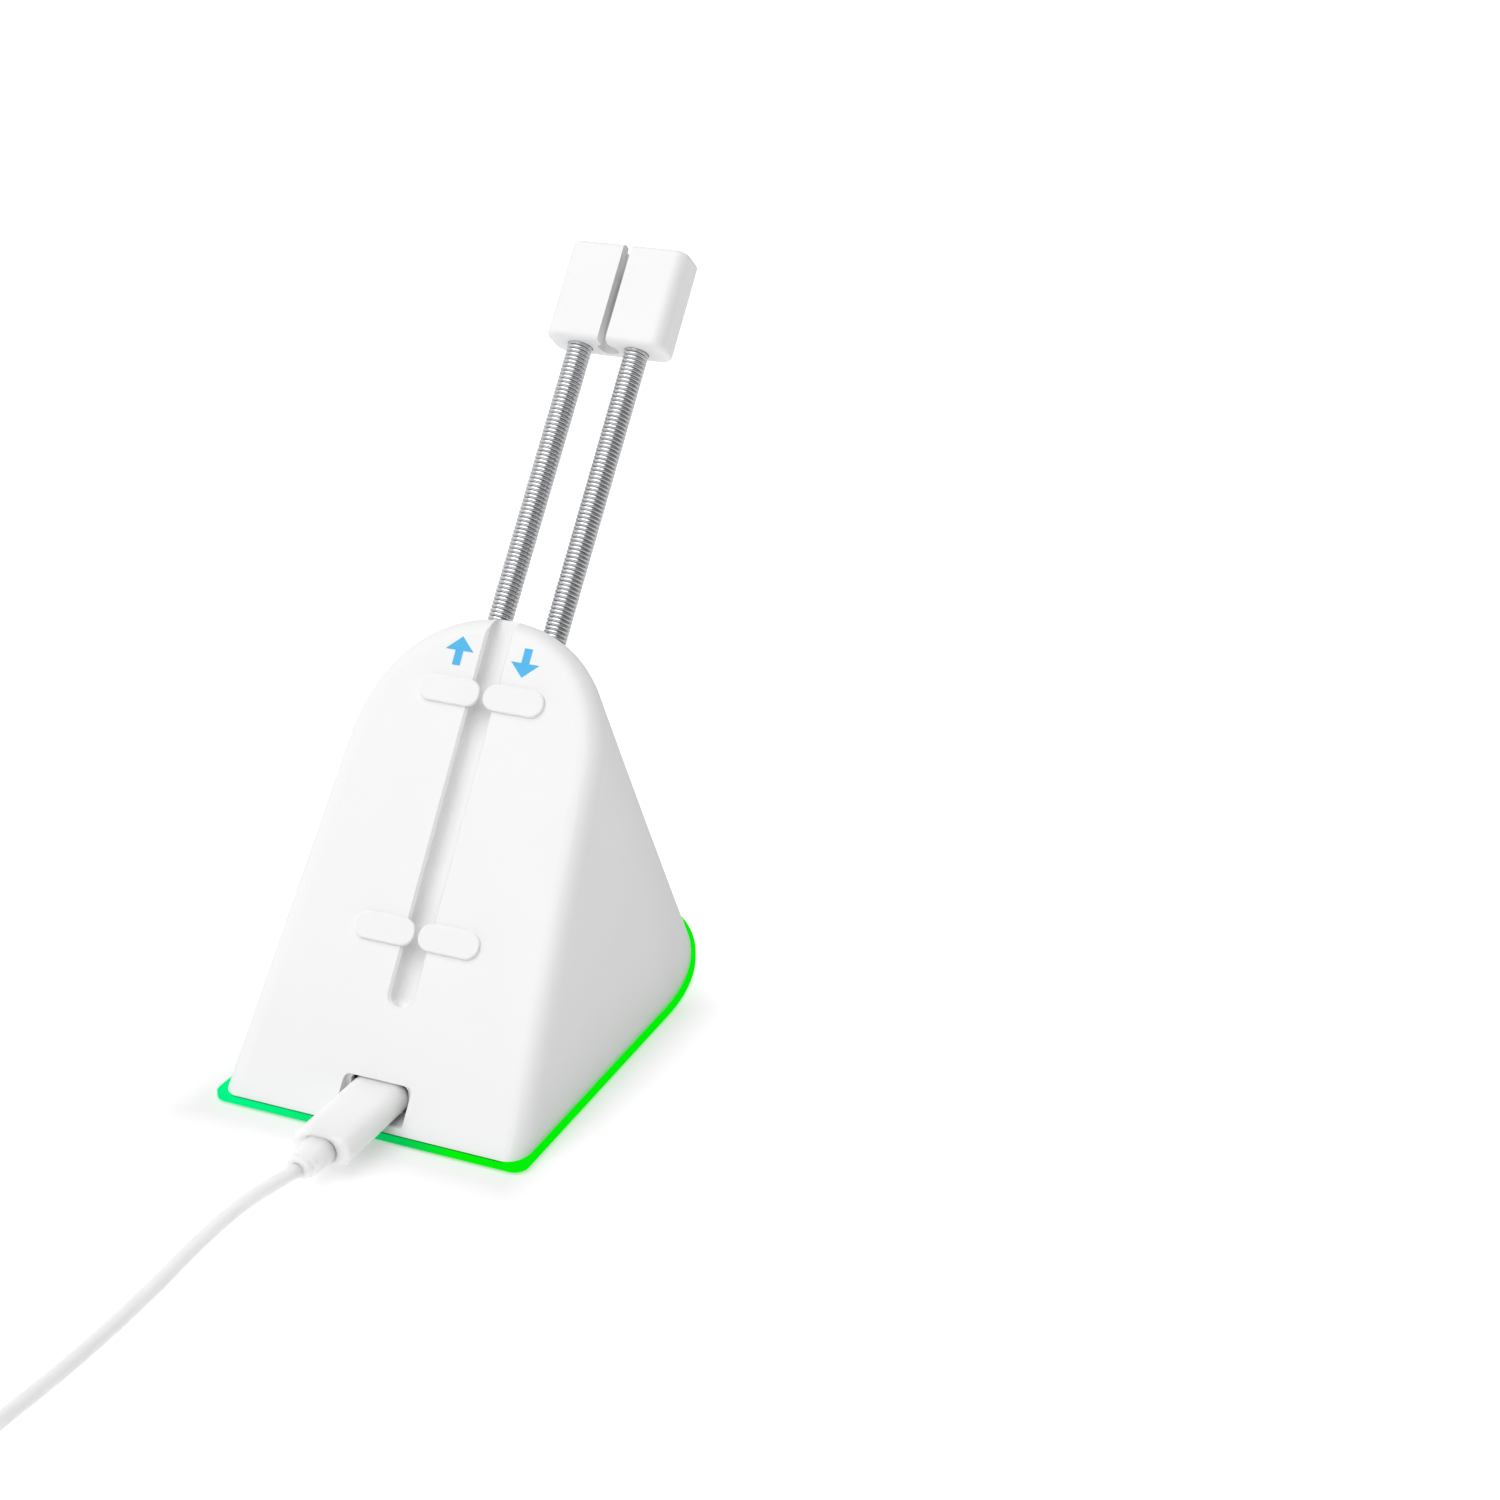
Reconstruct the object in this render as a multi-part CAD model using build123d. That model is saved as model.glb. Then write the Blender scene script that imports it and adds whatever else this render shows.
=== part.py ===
from build123d import *
import math
import os

# Mouse bungee: a weighted wedge with two spring arms and a slotted head that hold a cord off the desk.
# Millimetres. The desk is z = 0, the sloped groove face looks towards -Y, the arms lean back towards +Y.

# Wedge housing
base_width = 64.0
base_depth = 109.0
far_round = 46.4
face_lean = 36.6
face_length = 104.3
arch_rise = 29.0
side_draft = 4.35
near_flare = 0.8
edge_round = 4.3
wall = 2.0
solid_tip = 16.0
overcut = 2.0

# Stack between desk and housing
pad_thickness = 0.5
pad_inset = 4.8
plate_thickness = 1.2
plate_inset = 4.0
ring_lift = 0.35
ring_height = 1.35
ring_proud = 1.0
ring_edge_round = 0.3
ring_lip_height = 1.0
ring_lip_width = 2.4
seam_gap = 0.1
corner_round = 1.8
least_round = 0.5

# Cord groove and its clips
groove_width = 5.0
groove_depth = 3.6
groove_foot = 23.5
groove_floor_round = 1.2
groove_bevel = 0.5
groove_bevel_angle = 45.0
ridge_wall = 1.4
clip_length = 13.2
clip_height = 5.4
clip_rise = 0.7
clip_edge_round = 0.35
clip_gap = 0.8
clip_stem_radius = 1.5
clip_stem_offset = 1.6
clip_stem_tail = 1.0
upper_clip_setback = 18.8
lower_clip_row = 37.5

# Spring arms
spring_radius = 2.55
spring_wire = 0.85
coil_notch = 0.28
spring_spacing = 12.75
arm_setback = 24.3
arm_depth = 10.15
arm_lean = 39.0
bare_coils_from = 14.0
spring_hole_clearance = 0.35
bore_clearance = 0.05
pin_clearance = 0.05
press_clearance = 0.02

# Holder inside the housing that carries both springs
holder_wall = 1.45
holder_bore = 12.0
holder_floor = 4.0
ear_width = 8.0
ear_thickness = 3.0
ear_height = 8.0
root_pin_rise = 10.0

# Head
head_bottom = 83.4
head_width = 26.4
head_height = 21.6
head_thickness = 9.0
head_corner_round = 2.8
head_edge_round = 1.2
head_grip = 9.0
tip_pin_drop = 4.0
tip_pin_seat = 3.0
cord_channel_radius = 2.2
cord_mouth = 1.8

# Screws and bosses
boss_radius = 3.2
boss_height = 12.0
boss_setin = 11.0
boss_rib = 2.0
boss_rib_lift = 4.0
near_boss_setback = 16.0
far_boss_setback = 6.0
screw_radius = 1.1
screw_head_radius = 2.3
screw_head_height = 0.7
screw_hole_clearance = 0.2
housing_screw_reach = 8.0
screw_tip_room = 0.6
holder_screw_reach = 5.0
board_screw_reach = 1.6

# Ballast
ballast_width = 33.0
ballast_length = 44.0
ballast_height = 12.0
ballast_chamfer = 2.0
ballast_setback = 36.0
ballast_screw_pitch = 28.0
ballast_screw_reach = 6.0

# Light board and lamps
board_thickness = 1.0
led_board_inset = 5.0
led_board_width = 6.0
led_board_gap = 18.0
lamp_length = 3.0
lamp_width = 1.6
lamp_height = 1.0
lamp_setback = 0.4
lamps_per_side = 4
lamp_pitch = 12.0
first_lamp = 27.0
near_lamp_spacing = 36.0

# Socket board
port_height = 4.2
socket_board_width = 22.0
socket_board_length = 18.0
socket_board_setback = 7.4
post_radius = 2.2
post_spacing = 16.0
post_setback = 19.0
chip_size = 5.0
chip_height = 0.9
chip_setin = 2.0
header_width = 1.6
header_length = 3.0

# USB-C plug and socket
notch_width = 14.8
notch_bottom = 1.1
notch_top = 7.4
notch_reach = 12.0
notch_round = 1.2
notch_lip = 0.7
pocket_depth = 5.8
pocket_wall = 1.2
pocket_floor = 0.6
port_gap = 0.15
port_round = 1.6
plug_entry = 0.6
plug_width = 12.3
plug_thickness = 6.0
plug_length = 21.9
plug_edge_round = 1.0
plug_shell_width = 8.25
plug_shell_height = 2.4
plug_shell_length = 6.2
shell_wall = 0.3
socket_wall = 0.28
socket_clearance = 0.08
socket_gap = 0.4
socket_length = 7.3
tongue_width = 6.6
tongue_height = 0.7
tongue_length = 4.6
relief_width = 7.0
relief_height = 5.4
relief_length = 6.0
relief_taper = 4.0
collar_width = 5.0
collar_height = 4.2
collar_length = 1.6
collar_round = 0.6

# Power cable, its coil and its tie
cable_radius = 1.4
coil_mid_radius = 16.5
coil_turns_across = 3
coil_turns_high = 4
coil_edge_round = 1.2
bend_share = 0.45
tie_thickness = 0.8
tie_clearance = 0.2
tie_width = 8.0
coil_center = (-27.3, -205.0)
cable_route = [
    (0.0, -77.6, 5.9),
    (0.0, -83.6, 5.9),
    (-7.5, -94.4, 2.4),
    (-6.5, -112.0, 1.5),
    (-6.3, -136.0, 1.5),
    (-8.4, -160.0, 1.5),
    (-8.0, -183.0, 1.6),
    (-8.0, -205.0, 2.4),
]
tail_route = [
    (-46.6, -205.0, 9.6),
    (-46.6, -195.0, 6.8),
    (-47.4, -184.0, 3.4),
    (-48.2, -174.0, 4.2),
    (-48.2, -166.0, 4.2),
]

# USB-A plug at the far end of the cable
usb_a_width = 15.6
usb_a_thickness = 8.4
usb_a_length = 21.0
usb_a_edge_round = 1.6
usb_a_end_round = 0.6
usb_a_shell_width = 12.0
usb_a_shell_height = 4.5
usb_a_shell_length = 11.8
usb_a_window = 2.2
usb_a_window_spacing = 4.6
usb_a_window_setback = 6.2
usb_a_insert_height = 1.9
usb_a_insert_clearance = 0.05
usb_a_relief_width = 5.8
usb_a_relief_height = 4.2
usb_a_relief_length = 9.0

# Places worked out from the sizes above
lean = math.radians(face_lean)
near_y = -base_depth / 2
half_width = base_width / 2
far_centre = base_depth / 2 - far_round
plate_top = pad_thickness + plate_thickness
ring_top = ring_lift + ring_height
arch_start = face_length - arch_rise
arm_foot = face_length - arm_setback
upper_clip_row = face_length - upper_clip_setback
arch_height = arch_start * math.cos(lean)
apex_height = face_length * math.cos(lean)
side_slope = math.tan(math.radians(side_draft))
flare_slope = near_flare / (far_centre - near_y)
centre_slope = (far_centre - near_y - arch_start * math.sin(lean)) / arch_height
apex_reach = near_y + face_length * math.sin(lean) - far_centre + centre_slope * apex_height
reach_slope = (far_round - apex_reach) / apex_height
cavity_top = (face_length - solid_tip) * math.cos(lean)
beyond = 2 * (base_width + base_depth)
face_plane = Plane(
    origin=(0, near_y, ring_top),
    x_dir=(1, 0, 0),
    z_dir=(0, -math.cos(lean), math.sin(lean)),
)
arm_plane = Plane(
    origin=face_plane.from_local_coords((0, arm_foot, -arm_depth)),
    x_dir=(1, 0, 0),
    z_dir=(0, math.sin(math.radians(arm_lean)), math.cos(math.radians(arm_lean))),
)
spring_bore_radius = spring_radius + bore_clearance
pin_radius = spring_radius - spring_wire - pin_clearance
pin_seat_radius = pin_radius + press_clearance
holder_front = spring_radius + holder_wall
holder_half_width = spring_spacing / 2 + spring_radius + holder_wall
ear_center = holder_half_width + ear_width / 2
port_z = ring_top + port_height
pocket_back = near_y + pocket_depth
plug_plane = Plane(origin=(0, pocket_back + plug_entry, port_z), x_dir=(1, 0, 0), z_dir=(0, -1, 0))
socket_inner_width = plug_shell_width + 2 * socket_clearance
socket_inner_height = plug_shell_height + 2 * socket_clearance
socket_outer_width = socket_inner_width + 2 * socket_wall
socket_outer_height = socket_inner_height + 2 * socket_wall
socket_board_top = port_z - socket_outer_height / 2
socket_board_bottom = socket_board_top - board_thickness
led_board_top = plate_top + board_thickness
boss_x = half_width - boss_setin
boss_spots = [
    (side * boss_x, y)
    for side in (-1, 1)
    for y in (near_y + near_boss_setback, far_centre + far_boss_setback)
]
ballast_center_y = near_y + ballast_setback + ballast_length / 2
ballast_screw_spots = [(0, ballast_center_y + side * ballast_screw_pitch / 2) for side in (-1, 1)]
post_spots = [(side * post_spacing / 2, near_y + post_setback) for side in (-1, 1)]
cable_diameter = 2 * cable_radius
coil_width = coil_turns_across * cable_diameter
coil_height = coil_turns_high * cable_diameter
coil_bottom = tie_thickness + tie_clearance


def upright(radius, bottom, top, spot):
    """Vertical cylinder between two heights."""
    return Pos(spot[0], spot[1], bottom) * Cylinder(
        radius, top - bottom, align=(Align.CENTER, Align.CENTER, Align.MIN)
    )


def outline(inset):
    """Footprint of the housing at its lower edge, moved inwards by the inset."""
    half = half_width - inset
    near = near_y + inset
    near_half = half + near_flare
    sides = Polyline((half, far_centre), (near_half, near), (-near_half, near), (-half, far_centre))
    far_end = EllipticalCenterArc((0, far_centre), half, far_round - inset, arc_size=180)
    footprint = make_face([sides, far_end])
    return fillet(footprint.vertices().sort_by(Axis.Y)[:2], max(corner_round - inset, least_round))


def layer(inset, bottom, top):
    """Flat plate with the housing's footprint between two heights."""
    return Pos(0, 0, bottom) * extrude(outline(inset), top - bottom)


def housing_section(height, inset):
    """Level section of the housing before the sloped face is cut."""
    half = half_width - side_slope * height - inset
    centre = far_centre - centre_slope * height
    reach = far_round - reach_slope * height - inset
    front = near_y - base_depth
    near_half = half + flare_slope * (centre - front)
    sides = Polyline((half, centre), (near_half, front), (-near_half, front), (-half, centre))
    far_end = EllipticalCenterArc((0, centre), half, reach, arc_size=180)
    return Plane.XY.offset(ring_top + height) * make_face([sides, far_end])


def wedge(inset, bottom, top):
    """Housing block between two heights above the ring, its walls and face moved inwards by the inset."""
    block = loft([housing_section(bottom, inset), housing_section(top, inset)], ruled=True)
    front = Box(beyond, beyond, beyond, align=(Align.CENTER, Align.CENTER, Align.MIN))
    return block - face_plane * Pos(0, 0, -inset) * front


def rounded_wedge():
    """Outer block with its sloped face's side and arch edges rounded."""
    block = wedge(0, 0, apex_height + edge_round)
    sloped = max(block.faces(), key=lambda face: face.normal_at().dot(face_plane.z_dir))
    edges = sloped.edges().filter_by(lambda edge: edge.center().Z > ring_top + edge_round)
    return fillet(edges, edge_round)


def groove_outline(width):
    """Outline of the groove on the face, round at its foot and running out past the arch."""
    length = face_length + base_width
    foot_centre = groove_foot + groove_width / 2
    return Pos(0, foot_centre + (length - width) / 2) * SlotOverall(length, width, rotation=90)


def groove_cutter():
    """Cord groove up the middle of the face, with a bevelled mouth and a rounded floor."""
    channel = extrude(groove_outline(groove_width), -groove_depth)
    channel = fillet(channel.edges().group_by(Axis.Z)[0], groove_floor_round)
    mouth = groove_outline(groove_width + 2 * groove_bevel)
    bevel = extrude(mouth, -groove_bevel, taper=groove_bevel_angle)
    return face_plane * (channel + bevel + extrude(mouth, base_width))


def groove_ridge():
    """Wall round the groove on the inside of the face."""
    depth = groove_depth + ridge_wall
    ridge = Box(
        groove_width + 2 * ridge_wall,
        face_length - groove_foot + ridge_wall,
        depth - wall / 2,
        align=(Align.CENTER, Align.MIN, Align.MIN),
    )
    return face_plane * Pos(0, groove_foot - ridge_wall, -depth) * ridge


def port_block(margin):
    """Outside of the pocket behind the notch, from the ring upwards."""
    return Pos(0, near_y, ring_top) * Box(
        notch_width + 2 * (pocket_wall + margin),
        pocket_depth + pocket_wall + margin,
        notch_top + wall,
        align=(Align.CENTER, Align.MIN, Align.MIN),
    )


def port_cutter():
    """Notch through the face, the room behind its lip and the plug's opening in the pocket's back."""
    corner = (Align.CENTER, Align.MAX, Align.MAX)
    lip_back = notch_bottom * math.tan(lean) + notch_lip
    notch = Box(notch_width, notch_reach + pocket_depth, notch_top - notch_bottom, align=corner)
    notch += Box(notch_width, pocket_depth - lip_back, notch_top - pocket_floor, align=corner)
    notch = fillet(notch.edges().filter_by(Axis.Y).group_by(Axis.Z)[-1], notch_round)
    opening = RectangleRounded(plug_width + 2 * port_gap, plug_thickness + 2 * port_gap, port_round)
    opening = plug_plane * extrude(opening, 2 * pocket_wall, both=True)
    return Pos(0, pocket_back, ring_top + notch_top) * notch + opening


def facewards(radius, length, x, back):
    """Cylinder in the arm frame that starts at a depth and points to the sloped face."""
    rod = Cylinder(radius, length, align=(Align.CENTER, Align.CENTER, Align.MIN))
    return arm_plane * Pos(x, back, ear_height / 2) * Rot(90, 0, 0) * rod


def arm_rod(radius, start, end, x):
    """Cylinder along a spring's axis."""
    rod = Cylinder(radius, end - start, align=(Align.CENTER, Align.CENTER, Align.MIN))
    return arm_plane * Pos(x, 0, start) * rod


def clip_center(side):
    """Distance of a clip's centre from the groove's middle."""
    return side * (clip_gap + clip_length) / 2


def clip_stem(side, row, radius):
    """Stem that holds a clip in the face."""
    length = wall + clip_stem_tail
    stem = Cylinder(radius, length, align=(Align.CENTER, Align.CENTER, Align.MAX))
    return face_plane * Pos(clip_center(side) + side * clip_stem_offset, row, 0) * stem


def clip(side, row):
    """Soft pill-shaped tab whose inner end reaches over the groove."""
    pill = extrude(SlotOverall(clip_length, clip_height), clip_rise)
    pill = fillet(pill.edges().group_by(Axis.Z)[-1], clip_edge_round)
    return face_plane * Pos(clip_center(side), row, 0) * pill + clip_stem(side, row, clip_stem_radius)


def base_housing():
    """Moulded shell with its groove, plug pocket, spring holes, clip holes and screw bosses."""
    outer = rounded_wedge()
    shell = outer - wedge(wall, -ring_height, cavity_top)
    inside = groove_ridge() + port_block(0)
    for spot in boss_spots:
        inside += upright(boss_radius, plate_top, plate_top + boss_height, spot)
        rib = Box(boss_setin, boss_rib, boss_height - boss_rib_lift)
        inside += Pos(
            spot[0] + math.copysign(boss_setin / 2, spot[0]),
            spot[1],
            plate_top + (boss_height + boss_rib_lift) / 2,
        ) * rib
    for side in (-1, 1):
        inside += facewards(boss_radius, arm_depth, side * ear_center, -holder_front)
    below = layer(0, 0, ring_top)
    shell += inside & (outer + below)
    shell -= groove_cutter()
    shell -= port_cutter()
    for spot in boss_spots:
        pilot_top = plate_top + housing_screw_reach + screw_tip_room
        shell -= upright(screw_radius, plate_top - overcut, pilot_top, spot)
    for side in (-1, 1):
        pilot = holder_screw_reach + screw_tip_room - ear_thickness
        shell -= facewards(screw_radius, pilot, side * ear_center, -holder_front)
        x = side * spring_spacing / 2
        shell -= arm_rod(spring_radius + spring_hole_clearance, holder_bore, head_bottom, x)
        for row in (lower_clip_row, upper_clip_row):
            shell -= clip_stem(side, row, clip_stem_radius + pin_clearance)
    return shell


def light_ring():
    """Light guide round the bottom edge, with an inner lip that the bottom plate clamps."""
    band = layer(-ring_proud, ring_lift, ring_top)
    band = fillet(band.edges().group_by(Axis.Z)[0], ring_edge_round)
    lip_top = ring_top + ring_lip_height
    lip_outer = wall + seam_gap
    inside = layer(lip_outer, ring_lift, lip_top) & wedge(lip_outer, -ring_height, cavity_top)
    ring = band + inside
    ring -= layer(plate_inset - seam_gap, 0, plate_top)
    ring -= port_block(seam_gap)
    return ring - layer(lip_outer + ring_lip_width, 0, lip_top + overcut)


def screw_hole(spot, top):
    """Screw hole through the bottom plate, counterbored from below."""
    hole = upright(screw_radius + screw_hole_clearance, 0, top, spot)
    head = upright(screw_head_radius + screw_hole_clearance, 0, pad_thickness + screw_head_height, spot)
    return hole + head


def bottom_plate():
    """Plate that closes the housing and carries the ballast and the boards."""
    plate = layer(plate_inset, pad_thickness, plate_top)
    for spot in post_spots:
        plate += upright(post_radius, plate_top, socket_board_bottom, spot)
        plate -= upright(screw_radius, plate_top, socket_board_bottom, spot)
    for spot in boss_spots + ballast_screw_spots:
        plate -= screw_hole(spot, plate_top + overcut)
    return plate


def screw_up(spot, reach):
    """Screw from below, its head in the bottom plate's counterbore."""
    seat = pad_thickness + screw_head_height
    shank = upright(screw_radius - press_clearance, seat, plate_top + reach, spot)
    return shank + upright(screw_head_radius, pad_thickness, seat, spot)


def ballast_weight():
    """Steel block on the bottom plate."""
    block = Box(
        ballast_width,
        ballast_length,
        ballast_height,
        align=(Align.CENTER, Align.CENTER, Align.MIN),
    )
    block = chamfer(block.edges().filter_by(Axis.Z), ballast_chamfer)
    block = Pos(0, ballast_center_y, plate_top) * block
    for spot in ballast_screw_spots:
        top = plate_top + ballast_screw_reach + screw_tip_room
        block -= upright(screw_radius, plate_top, top, spot)
    return block


def led_board():
    """Horseshoe board inside the light ring, open at the plug's side."""
    board = layer(led_board_inset, plate_top, led_board_top)
    board -= layer(led_board_inset + led_board_width, plate_top, led_board_top)
    opening = Box(led_board_gap, 2 * (led_board_inset + led_board_width + overcut), beyond)
    board -= Pos(0, near_y, 0) * opening
    for spot in boss_spots:
        board -= upright(boss_radius + screw_hole_clearance, 0, ring_top + boss_height, spot)
    return board


def led_lamps():
    """Side-firing lamps on the light board."""
    inset = led_board_inset + lamp_setback + lamp_width / 2
    lamp = Box(lamp_width, lamp_length, lamp_height, align=(Align.CENTER, Align.CENTER, Align.MIN))
    lamps = []
    for side in (-1, 1):
        for count in range(lamps_per_side):
            y = near_y + first_lamp + count * lamp_pitch
            lamps.append(Pos(side * (half_width - inset), y, led_board_top) * lamp)
        near = Pos(side * near_lamp_spacing / 2, near_y + inset, led_board_top)
        lamps.append(near * Rot(0, 0, 90) * lamp)
    far = Pos(0, far_centre + far_round - inset, led_board_top)
    lamps.append(far * Rot(0, 0, 90) * lamp)
    return Compound(lamps)


def socket_board():
    """Small board on two posts that carries the socket and the controller."""
    board = Box(
        socket_board_width,
        socket_board_length,
        board_thickness,
        align=(Align.CENTER, Align.MIN, Align.MIN),
    )
    board = Pos(0, near_y + socket_board_setback, socket_board_bottom) * board
    for spot in post_spots:
        board -= upright(screw_radius + screw_hole_clearance, 0, port_z, spot)
    return board


def board_screws():
    """Screws that hold the socket board on its posts."""
    screws = []
    for spot in post_spots:
        bottom = socket_board_bottom - board_screw_reach
        shank = upright(screw_radius - press_clearance, bottom, socket_board_top, spot)
        head_top = socket_board_top + screw_head_height
        screws.append(shank + upright(screw_head_radius, socket_board_top, head_top, spot))
    return Compound(screws)


def board_headers():
    """Header strips between the light board and the socket board."""
    rise = socket_board_bottom - led_board_top
    strip = Box(header_width, header_length, rise, align=(Align.CENTER, Align.MIN, Align.MIN))
    x = (led_board_gap + socket_board_width) / 4
    y = near_y + socket_board_setback
    return Compound([Pos(side * x, y, led_board_top) * strip for side in (-1, 1)])


def controller_chip():
    """Lamp controller behind the socket."""
    chip = Box(chip_size, chip_size, chip_height, align=(Align.CENTER, Align.MAX, Align.MIN))
    return Pos(0, near_y + socket_board_setback + socket_board_length - chip_setin, socket_board_top) * chip


def slot_prism(width, height, start, end):
    """Flat-oval bar along the plug's axis; positive distances leave the housing."""
    return plug_plane * Pos(0, 0, start) * extrude(SlotOverall(width, height), end - start)


def usb_socket_shell():
    """Metal shell of the socket, closed at its back."""
    back = -socket_gap - socket_length
    shell = slot_prism(socket_outer_width, socket_outer_height, back, -socket_gap)
    return shell - slot_prism(socket_inner_width, socket_inner_height, back + socket_wall, plug_length)


def usb_socket_tongue():
    """Contact tongue in the socket."""
    back = -socket_gap - socket_length + socket_wall
    tongue = Box(tongue_width, tongue_height, tongue_length, align=(Align.CENTER, Align.CENTER, Align.MIN))
    return plug_plane * Pos(0, 0, back) * tongue


def usb_c_shell():
    """Metal nose of the plug, in the socket."""
    inner_width = plug_shell_width - 2 * shell_wall
    inner_height = plug_shell_height - 2 * shell_wall
    nose = slot_prism(plug_shell_width, plug_shell_height, -plug_shell_length, 0)
    return nose - slot_prism(inner_width, inner_height, -plug_shell_length - overcut, -shell_wall)


def usb_c_overmould():
    """White body of the plug."""
    body = extrude(SlotOverall(plug_width, plug_thickness), plug_length)
    return plug_plane * fillet(body.edges().group_by(Axis.Z)[-1], plug_edge_round)


def usb_c_strain_relief():
    """Tapered sleeve and collar where the cable leaves the plug."""
    sleeve = extrude(SlotOverall(relief_width, relief_height), relief_length, taper=relief_taper)
    sleeve += Pos(0, 0, relief_length) * extrude(SlotOverall(collar_width, collar_height), collar_length)
    sleeve = fillet(sleeve.edges().group_by(Axis.Z)[-1], collar_round)
    return plug_plane * Pos(0, 0, plug_length) * sleeve


def cable_tube(points):
    """Round cable along straight runs with tangent bends."""
    radii = []
    for before, at, after in zip(points, points[1:], points[2:]):
        arrive = Vector(*at) - Vector(*before)
        leave = Vector(*after) - Vector(*at)
        half_turn = math.radians(arrive.get_angle(leave)) / 2
        radii.append(bend_share * min(arrive.length, leave.length) / math.tan(half_turn))
    print("bend radii", [round(radius, 1) for radius in radii])
    path = FilletPolyline(*points, radius=radii)
    start = Plane(origin=path @ 0, z_dir=path % 0)
    return sweep(start * Circle(cable_radius), path)


def cable_coil():
    """Outer shape of the coiled cable."""
    section = RectangleRounded(coil_width, coil_height, coil_edge_round)
    section = Plane.XZ * Pos(coil_mid_radius, coil_bottom + coil_height / 2) * section
    return Pos(*coil_center, 0) * revolve(section, Axis.Z)


def cable_tie():
    """Strap round one side of the coil."""
    chord = math.sqrt((coil_mid_radius - coil_width / 2) ** 2 - tie_width**2 / 4)
    inner = chord - tie_clearance
    outer = coil_mid_radius + coil_width / 2 + tie_clearance
    span = outer - inner
    height = coil_height + 2 * tie_clearance
    outer_round = coil_edge_round + tie_thickness
    section = RectangleRounded(span + 2 * tie_thickness, height + 2 * tie_thickness, outer_round)
    section -= RectangleRounded(span, height, coil_edge_round)
    strap = extrude(Plane.YZ * section, tie_width / 2, both=True)
    return Pos(coil_center[0], coil_center[1] + (inner + outer) / 2, tie_thickness + height / 2) * strap


tail_end = Vector(*tail_route[-1])
usb_a_plane = Plane(origin=tail_end, x_dir=(-1, 0, 0), z_dir=(0, 1, 0))
usb_a_front = usb_a_relief_length + usb_a_length


def usb_a_block(width, height, start, end, rise=0):
    """Block along the far plug's axis."""
    block = Box(width, height, end - start, align=(Align.CENTER, Align.CENTER, Align.MIN))
    return Pos(0, rise, start) * block


def usb_a_strain_relief():
    """Sleeve on the far plug, widening from the cable to the plug's body."""
    cable_end = SlotOverall(usb_a_relief_width, usb_a_relief_height)
    return usb_a_plane * extrude(cable_end, usb_a_relief_length, taper=-relief_taper)


def usb_a_overmould():
    """White body of the far plug."""
    body = usb_a_block(usb_a_width, usb_a_thickness, usb_a_relief_length, usb_a_front)
    body = fillet(body.edges().filter_by(Axis.Z), usb_a_edge_round)
    ends = body.edges().group_by(Axis.Z)
    return usb_a_plane * fillet(ends[0] + ends[-1], usb_a_end_round)


def usb_a_shell():
    """Metal mouth of the far plug, with two latch windows in its upper and lower walls."""
    end = usb_a_front + usb_a_shell_length
    inner_width = usb_a_shell_width - 2 * shell_wall
    inner_height = usb_a_shell_height - 2 * shell_wall
    shell = usb_a_block(usb_a_shell_width, usb_a_shell_height, usb_a_front, end)
    shell -= usb_a_block(inner_width, inner_height, usb_a_front, end + overcut)
    window = Box(usb_a_window, 2 * usb_a_shell_height, usb_a_window)
    for side in (-1, 1):
        shell -= Pos(side * usb_a_window_spacing / 2, 0, end - usb_a_window_setback) * window
    return usb_a_plane * shell


def usb_a_insert():
    """Contact carrier in the far plug's mouth."""
    inner_width = usb_a_shell_width - 2 * shell_wall - 2 * usb_a_insert_clearance
    floor = -usb_a_shell_height / 2 + shell_wall
    rise = floor + usb_a_insert_height / 2
    end = usb_a_front + usb_a_shell_length - shell_wall
    return usb_a_plane * usb_a_block(inner_width, usb_a_insert_height, usb_a_front, end, rise)


def spring(side):
    """Close-wound spring: a tube whose outside shows every turn from the housing to the head."""
    end = head_bottom + head_grip
    inner = spring_radius - spring_wire
    turns = int((head_bottom - bare_coils_from) / spring_wire)
    points = [(inner, 0), (spring_radius, 0), (spring_radius, bare_coils_from)]
    for turn in range(turns):
        z = bare_coils_from + turn * spring_wire
        points.append((spring_radius - coil_notch, z + spring_wire / 2))
        points.append((spring_radius, z + spring_wire))
    points += [(spring_radius, end), (inner, end)]
    profile = Plane.XZ * make_face(Polyline(*points, close=True))
    return arm_plane * Pos(side * spring_spacing / 2, 0, 0) * revolve(profile, Axis.Z)


def spring_holder():
    """Block behind the face, screwed to two bosses, with a bore for each spring."""
    block = Box(
        2 * holder_half_width,
        2 * holder_front,
        holder_floor + holder_bore,
        align=(Align.CENTER, Align.CENTER, Align.MIN),
    )
    holder = arm_plane * Pos(0, 0, -holder_floor) * block
    ears = Box(
        2 * (holder_half_width + ear_width),
        ear_thickness,
        ear_height,
        align=(Align.CENTER, Align.MIN, Align.MIN),
    )
    holder += arm_plane * Pos(0, -holder_front, 0) * ears
    for side in (-1, 1):
        x = side * spring_spacing / 2
        holder -= arm_rod(spring_bore_radius, 0, holder_bore, x)
        holder -= arm_rod(pin_seat_radius, -holder_floor, 0, x)
        ear_back = ear_thickness - holder_front
        holder -= facewards(screw_radius + screw_hole_clearance, ear_thickness, side * ear_center, ear_back)
    return holder


def holder_screws():
    """Screws through the holder's ears into the housing."""
    screws = []
    back = ear_thickness - holder_front
    for side in (-1, 1):
        x = side * ear_center
        shank = facewards(screw_radius - press_clearance, holder_screw_reach, x, back)
        screws.append(shank + facewards(screw_head_radius, screw_head_height, x, back + screw_head_height))
    return Compound(screws)


def root_pin(side):
    """Core pin in the lower end of a spring."""
    return arm_rod(pin_radius, -holder_floor, root_pin_rise, side * spring_spacing / 2)


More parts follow.
